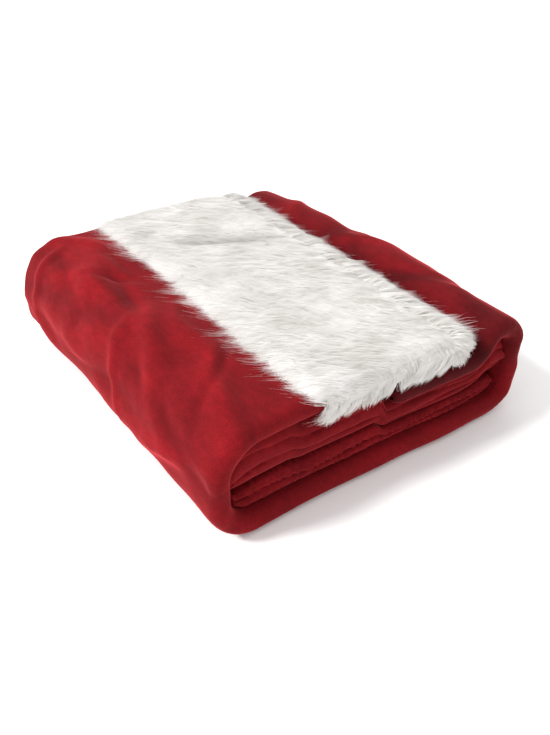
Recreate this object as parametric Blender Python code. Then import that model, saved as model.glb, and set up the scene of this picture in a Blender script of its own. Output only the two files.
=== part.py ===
"""A folded santa suit: a lined velvet jacket with a wide plush hem, wrapped round its folded trousers.

The jacket's sides and sleeves are folded in, which makes a flat strip as wide as the pack is long. The
strip is then folded in three: its neck end comes over from the right, and its hem over that from the
left. Lengths are in metres. X runs across the pack, Y along the hem and Z up from the surface.
"""

import math
from collections import namedtuple

import bmesh
import bpy
import numpy as np

# Gaps at seams, and round the layers that don't show
GAP = 0.0003
INNER_GAP = 0.0006

# The jacket strip: its thickness folded, its cloth, and how far each side is folded in
PACK_WIDTH = 0.342
STRIP_FOLD = 0.019
VELVET = 0.0024
SIDE_RETURN = 0.110
ROLL_CENTRE = 0.1945

# The plush hem, folded in like the strip
HEM_FOLD = 0.034
PLUSH = 0.012
HEM_SEAM = -0.060
HEM_EDGE = 0.087
HEM_FLARE = 0.012
HEM_FLARE_START = 0.010

# Heights of the middle lines of the folded jacket's stretches
FLAT_LEVEL = STRIP_FOLD / 2
HEM_LEVEL = 0.0985
RIGHT_LEVEL = 0.0950
UNDER_HEM_LEVEL = HEM_LEVEL - HEM_FOLD / 2 - GAP - STRIP_FOLD / 2

# The folded trousers, the share of their height where each end parts into layers, and their trims
TROUSER_END = 0.197
TROUSER_ROUND = 0.014
WAIST_LAYER = 0.34
ANKLE_LAYER = 0.64
WAISTBAND = 0.040
WAIST_HALF = 0.146
GATHER = 0.020
GATHER_DEPTH = 0.0022
ANKLE_TRIM = 0.095
ANKLE_END = 0.206
ANKLE_SPANS = {"ankle_trim_left": (-0.143, -0.006), "ankle_trim_right": (0.006, 0.140)}
TRIM_SQUEEZE = 0.6
WAISTBAND_ROUND = 0.009
TROUSER_STATIONS = 20
STATION_GAP = 0.005
LEVEL_FACING = 0.02
NOSE_STEPS = 5

# Sampling: points in a quarter bend, in a half round, along the cloth and along hidden layers
BEND_STEPS = 5
ROUND_STEPS = 6
CLOTH_STEPS = 16
HIDDEN_STEPS = 6
RETURN_STEPS = 3
STRETCH = 0.033

Corner = namedtuple("Corner", "x z bend")
Row = namedtuple("Row", "x radius")
Fold = namedtuple("Fold", "along beside length width height turn")

SIDE = PACK_WIDTH / 2 - STRIP_FOLD / 2
NECK_EDGE = 0.012

# Where the trousers' top drops under the hem's lip, and under the neck end
LIP_RAMP = (HEM_SEAM - 0.032, HEM_SEAM - 0.016)
NECK_RAMP = (NECK_EDGE - 0.0095, NECK_EDGE - 0.0015)

# How the soft pack settles: it waves along and across, bulges at its sides and ends, rises in its middle
# and leans. Each wave has its size, its length and where it starts; RISE and LEAN are shares of the height
Wave = namedtuple("Wave", "size length start")
WAVE_ALONG = Wave(0.0020, 0.50, 0.12)
WAVE_ACROSS = Wave(0.0020, 0.36, 0.35)
SIDE_BULGE = 0.0030
END_BULGE = 0.0020
RISE = 0.020
LEAN = 0.012
FLOOR_SHARE = 0.4

# Where the folds in the velvet start and stop along the strip, and how far they fade out from there
FOLDS_START = 0.096
FOLDS_STOP = 0.033
FOLD_FADE = 0.025

# The jacket strip's middle line, from the neck edge round to the seam of the hem
WRAP = (
    Corner(NECK_EDGE, UNDER_HEM_LEVEL, 0.0),
    Corner(0.112, UNDER_HEM_LEVEL, 0.026),
    Corner(0.130, RIGHT_LEVEL, 0.016),
    Corner(SIDE, RIGHT_LEVEL, 0.0215),
    Corner(SIDE, FLAT_LEVEL, 0.028),
    Corner(-SIDE, FLAT_LEVEL, 0.030),
    Corner(-SIDE, HEM_LEVEL, 0.038),
    Corner(HEM_SEAM - GAP, HEM_LEVEL, 0.0),
)

# The hem's edges: places across the pack, and half the fold's thickness there. The pile leans over the
# velvet at the left, and rounds off at the free edge on the right
HEM_LEFT = (
    Row(HEM_SEAM - 0.0130, 0.0122),
    Row(HEM_SEAM - 0.0115, 0.0145),
    Row(HEM_SEAM - 0.0060, 0.0163),
    Row(HEM_SEAM + 0.0030, HEM_FOLD / 2),
)
HEM_RIGHT = (
    Row(HEM_EDGE - 0.0110, HEM_FOLD / 2),
    Row(HEM_EDGE - 0.0030, 0.0155),
    Row(HEM_EDGE, 0.0120),
    Row(HEM_EDGE - 0.0010, 0.0080),
)
HEM_BACKING_LEFT = (
    Row(HEM_SEAM - 0.0100, STRIP_FOLD / 2 + 2 * GAP),
    Row(HEM_SEAM, STRIP_FOLD / 2 + 1.5 * GAP),
    Row(HEM_SEAM + 0.0045, HEM_FOLD / 2 - PLUSH),
)
HEM_BACKING_RIGHT = Row(HEM_EDGE - 0.0020, HEM_FOLD / 2 - PLUSH)
HEM_MIDDLE_ROWS = 5

# How far in from the neck edge the inner layers start, and how far short of the hem's seam they narrow
NECK_RECESS = 0.002
HEM_RECESS = 0.004

# Soft folds that lift the velvet, in order from the neck edge: centre along the strip and beside its
# middle, size, height, and direction in degrees from the strip's own
VELVET_FOLDS = (
    Fold(0.132, 0.120, 0.180, 0.048, 0.0044, 98),
    Fold(0.143, -0.035, 0.200, 0.044, 0.0038, 84),
    Fold(0.123, -0.150, 0.130, 0.048, 0.0042, 65),
    Fold(0.196, 0.090, 0.190, 0.034, 0.0036, 94),
    Fold(0.184, -0.080, 0.180, 0.030, 0.0034, 84),
    Fold(0.207, -0.130, 0.140, 0.028, 0.0028, 104),
    Fold(0.587, 0.080, 0.190, 0.034, 0.0036, 86),
    Fold(0.568, -0.070, 0.210, 0.032, 0.0034, 95),
    Fold(0.609, 0.020, 0.150, 0.030, 0.0028, 110),
    Fold(0.655, 0.115, 0.150, 0.058, 0.0032, 60),
    Fold(0.660, -0.060, 0.170, 0.058, 0.0032, 105),
)
# Hollows pressed into the plush
HEM_HOLLOWS = (
    Fold(0.018, 0.074, 0.150, 0.040, 0.0035, -24),
    Fold(-0.020, -0.046, 0.110, 0.050, 0.0015, 70),
)


def clear_scene():
    for thing in list(bpy.data.objects):
        bpy.data.objects.remove(thing, do_unlink=True)


def finish(name, colour, roughness):
    made = bpy.data.materials.new(name)
    made.use_nodes = True
    shader = made.node_tree.nodes["Principled BSDF"]
    shader.inputs["Base Color"].default_value = (*colour, 1.0)
    shader.inputs["Roughness"].default_value = roughness
    shader.inputs["Metallic"].default_value = 0.0
    return made


def wave(place, row):
    return row.size * np.sin(2 * math.pi * (place / row.length + row.start))


def settled(points):
    """Points with the lean, sag and bulge that a soft pack takes, its underside left flat."""
    x, y, z = points[..., 0], points[..., 1], points[..., 2]
    up = z / HEM_LEVEL
    along = y / ROLL_CENTRE
    across = x / SIDE
    middle = 1.0 - along**2
    sideways = wave(y, WAVE_ALONG) + SIDE_BULGE * across * middle
    lengthways = wave(x, WAVE_ACROSS) + END_BULGE * across * along
    moved = np.empty_like(points)
    moved[..., 0] = x + up * sideways
    moved[..., 1] = y + (FLOOR_SHARE + (1.0 - FLOOR_SHARE) * up) * lengthways
    moved[..., 2] = z * (1.0 + RISE * middle - LEAN * across * along)
    return moved


def lift(along, beside, folds):
    """How far the folds raise the cloth at places on it."""
    height = np.zeros_like(beside)
    for fold in folds:
        turn = math.radians(fold.turn)
        ahead, aside = along - fold.along, beside - fold.beside
        run = ahead * math.cos(turn) + aside * math.sin(turn)
        off = aside * math.cos(turn) - ahead * math.sin(turn)
        taper = np.clip(1.0 - (2 * run / fold.length) ** 2, 0.0, 1.0)
        height = height + fold.height * taper * np.exp(-((2 * off / fold.width) ** 2))
    return height


def smooth_step(value):
    share = np.clip(value, 0.0, 1.0)
    return share * share * (3.0 - 2.0 * share)


def between(start, end, step):
    """Points from one end to the other about a step apart, without the ends."""
    count = max(1, round(float(np.linalg.norm(end - start)) / step))
    return [start + (end - start) * k / count for k in range(1, count)]


def wrap_path():
    """The strip's middle line: straight stretches joined by arcs of each corner's own radius."""
    knots = np.array([(corner.x, corner.z) for corner in WRAP])
    made = [knots[0]]
    for before, knot, after, row in zip(knots, knots[1:], knots[2:], WRAP[1:]):
        back = (before - knot) / np.linalg.norm(before - knot)
        ahead = (after - knot) / np.linalg.norm(after - knot)
        half = math.acos(float(back @ ahead)) / 2
        start = knot + back * row.bend / math.tan(half)
        end = knot + ahead * row.bend / math.tan(half)
        centre = knot + (back + ahead) / np.linalg.norm(back + ahead) * row.bend / math.sin(half)
        swing = math.pi - 2 * half
        steps = max(2, round(BEND_STEPS * swing / (math.pi / 2)))
        made += between(made[-1], start, STRETCH)
        for k in range(steps + 1):
            to_end = swing * k / steps
            spoke = (start - centre) * math.sin(swing - to_end) + (end - centre) * math.sin(to_end)
            made.append(centre + spoke / math.sin(swing))
    made += between(made[-1], knots[-1], STRETCH)
    made.append(knots[-1])
    return np.array(made)


def outward(path):
    """Unit normals of the middle line, away from the pack."""
    run = np.gradient(path, axis=0)
    run /= np.linalg.norm(run, axis=1)[:, None]
    return np.stack([-run[:, 1], run[:, 0]], axis=1)


def half_round(radius):
    """The strip's side fold from its underside out and round to its top, as y and height."""
    angles = [math.pi * k / ROUND_STEPS for k in range(ROUND_STEPS + 1)]
    return [(ROLL_CENTRE + radius * math.sin(a), -radius * math.cos(a)) for a in angles]


def cloth_line(radius, returns=0):
    """A face of cloth folded at both sides, with so many steps along each part that is folded in."""
    folded_in = [(ROLL_CENTRE - SIDE_RETURN * k / returns, -radius) for k in range(returns, 0, -1)]
    side = folded_in + half_round(radius)
    top = [(ROLL_CENTRE * (1 - 2 * k / CLOTH_STEPS), radius) for k in range(1, CLOTH_STEPS)]
    return np.array(side + top + [(-y, height) for y, height in reversed(side)])


def layers_outline(radius):
    """The outline of flat layers with round sides."""
    side = half_round(radius)
    top = [(ROLL_CENTRE * (1 - 2 * k / HIDDEN_STEPS), radius) for k in range(1, HIDDEN_STEPS)]
    half = side + top
    return np.array(half + [(-y, -height) for y, height in half])


def carried(places, normals, line):
    """A grid of points: a line of y and height, or one line for each place, carried along the places."""
    lines = np.broadcast_to(line, (len(places), *np.shape(line)[-2:]))
    y, height = lines[..., 0], lines[..., 1]
    x = places[:, 0, None] + normals[:, 0, None] * height
    z = places[:, 1, None] + normals[:, 1, None] * height
    return np.stack([x, y, z], axis=-1)


def add_body(name, points, faces, cloth):
    """One closed body, facing out, from a list of points and its faces."""
    mesh = bpy.data.meshes.new(name)
    faces = [tuple(int(corner) for corner in face) for face in faces]
    mesh.from_pydata(settled(points).tolist(), [], faces)
    work = bmesh.new()
    work.from_mesh(mesh)
    bmesh.ops.recalc_face_normals(work, faces=work.faces)
    work.to_mesh(mesh)
    work.free()
    mesh.materials.append(cloth)
    mesh.shade_smooth()
    mesh.set_sharp_from_angle(angle=math.radians(60))
    bpy.context.scene.collection.objects.link(bpy.data.objects.new(name, mesh))


def strip_faces(upper, lower):
    """The faces between two rows of point numbers."""
    return list(zip(upper, upper[1:], lower[1:], lower))


def add_wall(name, outer, inner, cloth):
    """A wall between two grids of the same size, closed along its four edges."""
    rows, columns = outer.shape[:2]
    numbers = np.arange(2 * rows * columns).reshape(2, rows, columns)
    front, back = numbers
    faces = []
    for side in numbers:
        for upper, lower in zip(side, side[1:]):
            faces += strip_faces(upper, lower)
    for edge in (np.s_[0], np.s_[-1], np.s_[:, 0], np.s_[:, -1]):
        faces += strip_faces(front[edge], back[edge])
    add_body(name, np.concatenate([outer.reshape(-1, 3), inner.reshape(-1, 3)]), faces, cloth)


def add_solid(name, rings, cloth):
    """A solid through closed rings with the same number of points, capped at both ends."""
    numbers = np.arange(rings.shape[0] * rings.shape[1]).reshape(rings.shape[:2])
    looped = np.concatenate([numbers, numbers[:, :1]], axis=1)
    faces = [tuple(numbers[0]), tuple(numbers[-1])]
    for upper, lower in zip(looped, looped[1:]):
        faces += strip_faces(upper, lower)
    add_body(name, rings.reshape(-1, 3), faces, cloth)


def flare(y):
    """How much further out the hem's free edge lies towards the back of the pack."""
    return HEM_FLARE * smooth_step((y - HEM_FLARE_START) / (ROLL_CENTRE - HEM_FLARE_START))


def flared(points):
    """Points of the hem stretched out to its flared edge."""
    made = points.copy()
    reach = np.clip((points[..., 0] - HEM_SEAM) / (HEM_EDGE - HEM_SEAM), 0.0, 1.0)
    made[..., 0] += flare(points[..., 1]) * reach
    return made


def raised(grid, path, normals):
    """A grid of the strip's cloth with its folds lifted, but none at its sides or under the hem."""
    steps = np.linalg.norm(np.diff(path, axis=0), axis=1)
    along = np.concatenate([[0.0], np.cumsum(steps)])[:, None]
    beside = grid[..., 1]
    inside = smooth_step((ROLL_CENTRE - np.abs(beside)) / FOLD_FADE)
    start = smooth_step((along - FOLDS_START) / FOLD_FADE)
    stop = smooth_step((along[-1] - FOLDS_STOP - along) / FOLD_FADE)
    height = lift(along, beside, VELVET_FOLDS) * inside * start * stop
    made = grid.copy()
    made[..., 0] += normals[:, 0, None] * height
    made[..., 2] += normals[:, 1, None] * height
    return made


def add_jacket_back(path, normals, velvet):
    outer = carried(path, normals, cloth_line(STRIP_FOLD / 2))
    inner = carried(path, normals, cloth_line(STRIP_FOLD / 2 - VELVET))
    add_wall("jacket_back", raised(outer, path, normals), raised(inner, path, normals), velvet)


def add_jacket_fronts(path, normals, velvet):
    """The fronts' outer parts, folded in flat against the inside of the back."""
    folded_in = [ROLL_CENTRE - SIDE_RETURN * k / RETURN_STEPS for k in range(RETURN_STEPS + 1)]
    for name, side in (("jacket_left_front", 1), ("jacket_right_front", -1)):
        faces = []
        for radius in (STRIP_FOLD / 2, STRIP_FOLD / 2 - VELVET):
            line = [(y - GAP, -radius) for y in folded_in]
            faces.append(carried(path, normals, [(side * y, height) for y, height in line]))
        add_wall(name, *faces, velvet)


def add_jacket_inner_layers(path, normals, velvet):
    """Fronts, sleeves and lining folded flat inside the back, and on into the hem."""
    places = path[:-1].copy()
    places[0, 0] += NECK_RECESS
    in_strip = carried(places, normals[:-1], layers_outline(STRIP_FOLD / 2 - VELVET - INNER_GAP))
    hem_x = np.linspace(HEM_SEAM - HEM_RECESS, HEM_EDGE - PLUSH, HEM_MIDDLE_ROWS)
    places = np.stack([hem_x, np.full_like(hem_x, HEM_LEVEL)], axis=1)
    up = np.tile((0.0, 1.0), (HEM_MIDDLE_ROWS, 1))
    in_hem = carried(places, up, layers_outline(HEM_FOLD / 2 - PLUSH - INNER_GAP))
    add_solid("jacket_inner_layers", np.concatenate([in_strip, flared(in_hem)]), velvet)


def hem_grid(rows):
    """The hem's cloth folded at both sides, carried across the pack through rows of places and sizes."""
    places = np.array([(row.x, HEM_LEVEL) for row in rows])
    lines = np.array([cloth_line(row.radius, returns=RETURN_STEPS) for row in rows])
    return carried(places, np.tile((0.0, 1.0), (len(rows), 1)), lines)


def filled(first, last, count):
    """Rows between two rows, evenly placed."""
    places = np.linspace(first.x, last.x, count + 2)[1:-1]
    return tuple(Row(x, last.radius) for x in places)


def add_hem_trim(plush):
    pile = HEM_LEFT + filled(HEM_LEFT[-1], HEM_RIGHT[0], HEM_MIDDLE_ROWS) + HEM_RIGHT
    spare = len(pile) - len(HEM_BACKING_LEFT) - 1
    backing = HEM_BACKING_LEFT + filled(HEM_BACKING_LEFT[-1], HEM_BACKING_RIGHT, spare) + (HEM_BACKING_RIGHT,)
    outer, inner = hem_grid(pile), hem_grid(backing)
    top = outer[..., 2] > HEM_LEVEL + HEM_FOLD / 2 - GAP
    outer[..., 2] -= top * lift(outer[..., 0], outer[..., 1], HEM_HOLLOWS)
    add_wall("hem_trim", flared(outer), flared(inner), plush)


def trouser_ceiling(x, left_top, right_top):
    """The underside of what lies on the trousers: the left flap, then the hem, then the neck end."""
    under_hem = HEM_LEVEL - HEM_FOLD / 2 - INNER_GAP
    if x < HEM_SEAM:
        left = np.interp(x, *left_top)
        return left + (under_hem - left) * smooth_step((x - LIP_RAMP[0]) / (LIP_RAMP[1] - LIP_RAMP[0]))
    right = np.interp(x, *right_top)
    return under_hem + (right - under_hem) * smooth_step((x - NECK_RAMP[0]) / (NECK_RAMP[1] - NECK_RAMP[0]))


def trouser_space(path, normals):
    """Places across the pack, with the lowest and highest that the trousers reach there."""
    face = path - normals * (STRIP_FOLD / 2 + INNER_GAP)
    face, facing = face[np.argsort(face[:, 0])], normals[np.argsort(face[:, 0])][:, 1]
    left_top = face[(facing > LEVEL_FACING) & (face[:, 0] < HEM_SEAM)].T
    right_top = face[(facing > LEVEL_FACING) & (face[:, 0] > HEM_SEAM)].T
    under = face[facing < -LEVEL_FACING].T
    half = SIDE - STRIP_FOLD / 2 - INNER_GAP
    turns = [x for x in (*LIP_RAMP, *NECK_RAMP, *right_top[0]) if abs(x) < half]
    spread = [-half * math.cos(math.pi * k / TROUSER_STATIONS) for k in range(TROUSER_STATIONS + 1)]
    places = sorted(turns + [x for x in spread if all(abs(x - turn) > STATION_GAP for turn in turns)])
    top = [trouser_ceiling(x, left_top, right_top) for x in places]
    return np.array(places), np.interp(places, *under), np.array(top)


def layer(space, x, start, end):
    """The bottom and top of the trousers at x, between two shares of their height."""
    places, bottom, top = space
    low, high = np.interp(x, places, bottom), np.interp(x, places, top)
    return low + start * (high - low), low + end * (high - low)


def nose(tip, depth, low, high):
    """A round edge at an end of a layer, from low to high, without its ends."""
    side = math.copysign(1.0, tip)
    made = []
    for k in range(1, NOSE_STEPS):
        swing = math.pi * (k / NOSE_STEPS - 0.5)
        y = tip - side * depth * (1 - math.cos(swing))
        made.append((y, (low + high + (high - low) * math.sin(swing)) / 2))
    return made


def edged(back, tip, depth, low, high):
    """The ring of a flat layer in Y and Z, from its back end to its round edge and back."""
    shoulder = tip - math.copysign(depth, tip)
    return [(back, low), (shoulder, low), *nose(tip, depth, low, high), (shoulder, high), (back, high)]


def squeezed(aside):
    """The share of its height that a trim keeps beside its middle, from -1 to 1, with rounded ends."""
    return math.sqrt(1.0 - TRIM_SQUEEZE * aside**6)


def add_trouser_legs(space, velvet):
    """Both legs folded in three: a fold over a free end at the front, and under one at the back."""
    waist_tip = WAISTBAND - TROUSER_END
    ankle_tip = ANKLE_END - ANKLE_TRIM
    groove = TROUSER_END - TROUSER_ROUND
    flats = np.linspace(-groove, groove, HIDDEN_STEPS + 1)
    rings = []
    for x in space[0]:
        low, waist = layer(space, x, 0.0, WAIST_LAYER)
        ankle, high = layer(space, x, ANKLE_LAYER, 1.0)
        ring = [(waist_tip + TROUSER_ROUND, low)] + [(y, low) for y in flats if y > waist_tip]
        ring += nose(TROUSER_END, TROUSER_ROUND, low, ankle)
        ring += [(groove, ankle), (ankle_tip, ankle - GAP), (ankle_tip - TROUSER_ROUND, high)]
        ring += [(y, high) for y in reversed(flats) if y < ankle_tip - TROUSER_ROUND]
        ring += reversed(nose(-TROUSER_END, TROUSER_ROUND, waist, high))
        ring += [(-groove, waist), (waist_tip, waist + GAP)]
        rings.append([(x, y, z) for y, z in ring])
    add_solid("trouser_legs", np.array(rings), velvet)


def add_waistband(space, velvet):
    """An elastic band at the lowest layer's free end, with its edge gathered."""
    rings = []
    gathers = np.linspace(-WAIST_HALF, WAIST_HALF, 4 * round(2 * WAIST_HALF / GATHER) + 1)
    for x in sorted([*gathers, *LIP_RAMP, *NECK_RAMP]):
        low, high = layer(space, x, 0.0, WAIST_LAYER)
        squeeze = squeezed(x / WAIST_HALF)
        gather = GATHER_DEPTH * (1 - math.cos(2 * math.pi * x / GATHER)) / 2
        tip = -TROUSER_END + gather + WAISTBAND_ROUND * (1 - squeeze)
        top = low + (high - low - GAP) * squeeze
        ring = edged(WAISTBAND - TROUSER_END - GAP, tip, WAISTBAND_ROUND, low, top)
        rings.append([(x, y, z) for y, z in ring])
    add_solid("waistband", np.array(rings), velvet)


def add_ankle_trims(space, plush):
    """The plush ends of both legs, side by side in the top layer."""
    for name, (start, end) in ANKLE_SPANS.items():
        rings = []
        for x in [start, *[x for x in space[0] if start < x < end], end]:
            low, high = layer(space, x, ANKLE_LAYER, 1.0)
            aside = 2 * (x - start) / (end - start) - 1
            squeeze = squeezed(aside)
            tip = ANKLE_END - TROUSER_ROUND * (1 - squeeze)
            top = low + (high - low) * squeeze
            ring = edged(ANKLE_END - ANKLE_TRIM + GAP, tip, TROUSER_ROUND, low + GAP, top)
            rings.append([(x, y, z) for y, z in ring])
        add_solid(name, np.array(rings), plush)


def main():
    clear_scene()
    velvet = finish("red_velvet", (0.45, 0.012, 0.018), 0.75)
    plush = finish("white_plush", (0.80, 0.78, 0.76), 0.95)
    path = wrap_path()
    normals = outward(path)
    add_jacket_back(path, normals, velvet)
    add_jacket_fronts(path, normals, velvet)
    add_jacket_inner_layers(path, normals, velvet)
    add_hem_trim(plush)
    space = trouser_space(path, normals)
    add_trouser_legs(space, velvet)
    add_waistband(space, velvet)
    add_ankle_trims(space, plush)


main()
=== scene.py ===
"""A folded santa suit: a velvet jacket with a wide plush hem, wrapped round its folded trousers.

The jacket's sides are folded in to make a strip, and the strip is folded in three round the trousers.
Lengths are in metres. X runs across the pack, Y along the hem and Z up from the floor.
"""

import math
from collections import namedtuple
from math import pi

import bpy
import numpy as np
from mathutils import Matrix


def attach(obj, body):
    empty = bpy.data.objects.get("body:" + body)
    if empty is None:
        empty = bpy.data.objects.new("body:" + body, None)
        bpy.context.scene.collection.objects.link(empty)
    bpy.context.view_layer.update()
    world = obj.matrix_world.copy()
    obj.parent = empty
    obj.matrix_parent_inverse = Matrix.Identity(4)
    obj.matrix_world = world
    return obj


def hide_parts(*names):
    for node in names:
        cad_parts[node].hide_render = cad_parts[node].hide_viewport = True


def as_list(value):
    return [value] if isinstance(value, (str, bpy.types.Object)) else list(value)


Corner = namedtuple("Corner", "x z bend")
Row = namedtuple("Row", "x radius")
Crease = namedtuple("Crease", "along beside length width height turn bend")
# A soft rise from 0 to 1
Fade = namedtuple("Fade", "start reach")
# Waves by their length, and waves in radians a metre
Wave = namedtuple("Wave", "size length start")
Swell = namedtuple("Swell", "size pace start lean")
Ripple = namedtuple("Ripple", "size along beside bent_along bent_beside")
# Locks of hair. Their tips lie so deep under the pile's outline, and are gathered so far into tufts
Hair = namedtuple("Hair", "count length width depth gathered")

# The jacket strip: its thickness folded, its cloth, and how far each side is folded in
PACK_WIDTH = 0.342
STRIP_FOLD = 0.019
STRIP_HALF = STRIP_FOLD / 2
VELVET = 0.0024
SIDE_RETURN = 0.110
ROLL_CENTRE = 0.1945
SIDE = PACK_WIDTH / 2 - STRIP_HALF
NECK_EDGE = 0.012

# The plush hem, folded in like the strip. Its free edge flares towards the back
HEM_FOLD = 0.034
HEM_HALF = HEM_FOLD / 2
PLUSH = 0.012
HEM_SEAM = -0.060
HEM_EDGE = 0.087
HEM_FLARE = 0.012
HEM_FLARE_START = 0.010
HEM_FLARE_LIMIT = 1.1

# Heights of the middle lines of the folded jacket's stretches, and gaps between layers
GAP = 0.0003
INNER_GAP = 0.0006
FLAT_LEVEL = STRIP_HALF
HEM_LEVEL = 0.0985
RIGHT_LEVEL = 0.0950
UNDER_HEM_LEVEL = HEM_LEVEL - HEM_HALF - GAP - STRIP_HALF

# The folded trousers, the share of their height where each end parts into layers, and their trims
TROUSER_END = 0.197
TROUSER_ROUND = 0.014
TROUSER_CLOTH = 0.0016
WAIST_LAYER = 0.34
ANKLE_LAYER = 0.64
WAISTBAND = 0.040
WAIST_HALF = 0.146
WAISTBAND_ROUND = 0.009
ANKLE_TRIM = 0.095
ANKLE_END = 0.206
ANKLE_SPANS = {"left": (-0.143, -0.006), "right": (0.006, 0.140)}
TRIM_SQUEEZE = 0.6
# Where the trousers' top passes from the left flap to the hem, and from the hem to the neck end
LIP = Fade(HEM_SEAM - 0.032, 0.016)
NECK = Fade(NECK_EDGE - 0.0110, 0.0107)

# How the soft pack settles: it waves, bulges at its sides and ends, rises in its middle and leans
WAVE_ALONG = Wave(0.0020, 0.50, 0.12)
WAVE_ACROSS = Wave(0.0020, 0.36, 0.35)
SIDE_BULGE = 0.0030
END_BULGE = 0.0020
RISE = 0.020
LEAN = 0.012
FLOOR_SHARE = 0.4

# The strip's middle line, from the neck edge round to the seam of the hem
WRAP = (
    Corner(NECK_EDGE, UNDER_HEM_LEVEL, 0.0),
    Corner(0.112, UNDER_HEM_LEVEL, 0.026),
    Corner(0.130, RIGHT_LEVEL, 0.016),
    Corner(SIDE, RIGHT_LEVEL, 0.0215),
    Corner(SIDE, FLAT_LEVEL, 0.028),
    Corner(-SIDE, FLAT_LEVEL, 0.030),
    Corner(-SIDE, HEM_LEVEL, 0.038),
    Corner(HEM_SEAM - GAP, HEM_LEVEL, 0.0),
)
# Its sampling: points in a quarter bend, the fewest in one, and steps along, on the floor and across
BEND_STEPS = 18
LEAST_STEPS = 4
STEP = 0.0026
FLOOR_STEP = 0.0080
BESIDE_STEP = 0.0033
RETURN_STEP = 0.010

# Creases of the velvet: along the strip from the neck edge, beside its middle, length, width, height, turn
# in degrees from the strip's own way, and bend. Troughs are negative
VELVET_CREASES = tuple(Crease(*row) for row in (
    # right flap
    (0.132, 0.12, 0.18, 0.044, 0.0046, 98, 0.006),
    (0.143, -0.035, 0.2, 0.04, 0.004, 84, -0.006),
    (0.123, -0.15, 0.13, 0.044, 0.0044, 65, 0.004),
    (0.153, 0.06, 0.16, 0.014, -0.0025, 75, 0.009),
    (0.136, -0.1, 0.14, 0.013, -0.0024, 110, -0.007),
    (0.157, 0.15, 0.1, 0.014, 0.0025, 58, 0.004),
    (0.126, 0.03, 0.14, 0.015, 0.0028, 118, 0.008),
    (0.159, -0.12, 0.09, 0.011, -0.002, 66, -0.003),
    (0.154, -0.06, 0.13, 0.014, 0.0022, 96, 0.005),
    # right side
    (0.196, 0.09, 0.19, 0.026, 0.004, 94, 0.008),
    (0.184, -0.08, 0.18, 0.022, 0.0038, 84, -0.008),
    (0.207, -0.13, 0.14, 0.022, 0.0032, 104, 0.006),
    (0.211, -0.01, 0.17, 0.015, -0.0025, 97, 0.008),
    (0.188, 0.015, 0.13, 0.014, -0.0024, 72, 0.004),
    (0.178, 0.16, 0.1, 0.016, 0.003, 69, -0.004),
    (0.218, 0.12, 0.14, 0.015, 0.0028, 82, 0.006),
    (0.199, -0.04, 0.13, 0.011, -0.0022, 112, -0.005),
    (0.192, -0.155, 0.08, 0.014, 0.0028, 20, 0.003),
    # left side
    (0.587, 0.08, 0.19, 0.026, 0.0042, 84, 0.009),
    (0.568, -0.07, 0.21, 0.024, 0.004, 96, -0.01),
    (0.611, 0.01, 0.16, 0.022, 0.0036, 108, 0.006),
    (0.603, -0.12, 0.22, 0.016, -0.0029, 78, 0.01),
    (0.578, 0.01, 0.18, 0.014, -0.0028, 103, 0.006),
    (0.56, 0.14, 0.17, 0.018, 0.0038, 70, 0.007),
    (0.598, 0.15, 0.14, 0.014, -0.0026, 99, -0.008),
    (0.621, -0.07, 0.18, 0.016, 0.0038, 64, 0.008),
    (0.584, -0.14, 0.16, 0.015, 0.0038, 110, 0.005),
    (0.625, 0.12, 0.16, 0.015, -0.0028, 79, 0.007),
    (0.595, -0.03, 0.1, 0.014, 0.0032, 30, 0.004),
    (0.607, 0.165, 0.08, 0.014, 0.0032, 12, 0.003),
    # left flap
    (0.653, 0.115, 0.16, 0.04, 0.004, 60, 0.012),
    (0.658, -0.06, 0.18, 0.038, 0.0038, 106, -0.014),
    (0.645, 0.015, 0.21, 0.016, -0.003, 79, 0.014),
    (0.671, 0.152, 0.14, 0.017, 0.0038, 121, 0.006),
    (0.64, -0.15, 0.16, 0.02, 0.0041, 70, -0.008),
    (0.667, -0.115, 0.16, 0.013, -0.0028, 44, 0.006),
    (0.663, 0.06, 0.13, 0.013, -0.0026, 130, 0.006),
    (0.677, -0.01, 0.1, 0.013, 0.0029, 60, -0.004),
    (0.631, 0.09, 0.17, 0.015, 0.0035, 97, 0.009),
    (0.67, 0.095, 0.08, 0.01, -0.002, 95, 0.004),
    (0.635, -0.04, 0.13, 0.014, 0.0035, 84, 0.007),
))
# Creases start past the hem's free edge, end before its seam, and fade against the floor and inside
CREASES_START = Fade(0.096, 0.022)
CREASES_END = Fade(0.022, 0.025)
FACING_FLOOR = Fade(0.25, 0.5)
FACING_OUT = Fade(-0.6, 0.8)

# Short pleats where bends squeeze the strip's rounded sides: their places along it
PLEATS = (
    0.154, 0.165, 0.183, 0.195, 0.215, 0.226, 0.241, 0.533,
    0.546, 0.555, 0.572, 0.592, 0.604, 0.618, 0.633,
)
# The usual pleat, the heights of trough and ridge, and how pleats vary in turn, height, place and length
PLEAT = Crease(0.0, 0.205, 0.052, 0.0120, 0.0, 90, 0.002)
PLEAT_HEIGHTS = (-0.0006, 0.0008)
PLEAT_TURN = 14
PLEAT_UNEVEN = 0.4
PLEAT_SHIFT = 0.003
PLEAT_STRETCH = 8

# The velvet's small unevenness, as waves each bent by a slower one, and how its rounded sides swell
RIPPLES = (Ripple(0.00033, 83, 31, 0, 19), Ripple(0.00033, -41, 117, 27, 0))
RIPPLE_BEND = 2
SWELLS = (Swell(0.0010, 23, 0.6, 0.0), Swell(0.0008, 61, 1.9, 0.5))
# The roll of cloth at the neck edge: how far in it reaches, and the share of its size that it loses
LIP_REACH = 0.010
LIP_LOSS = 0.7

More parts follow.
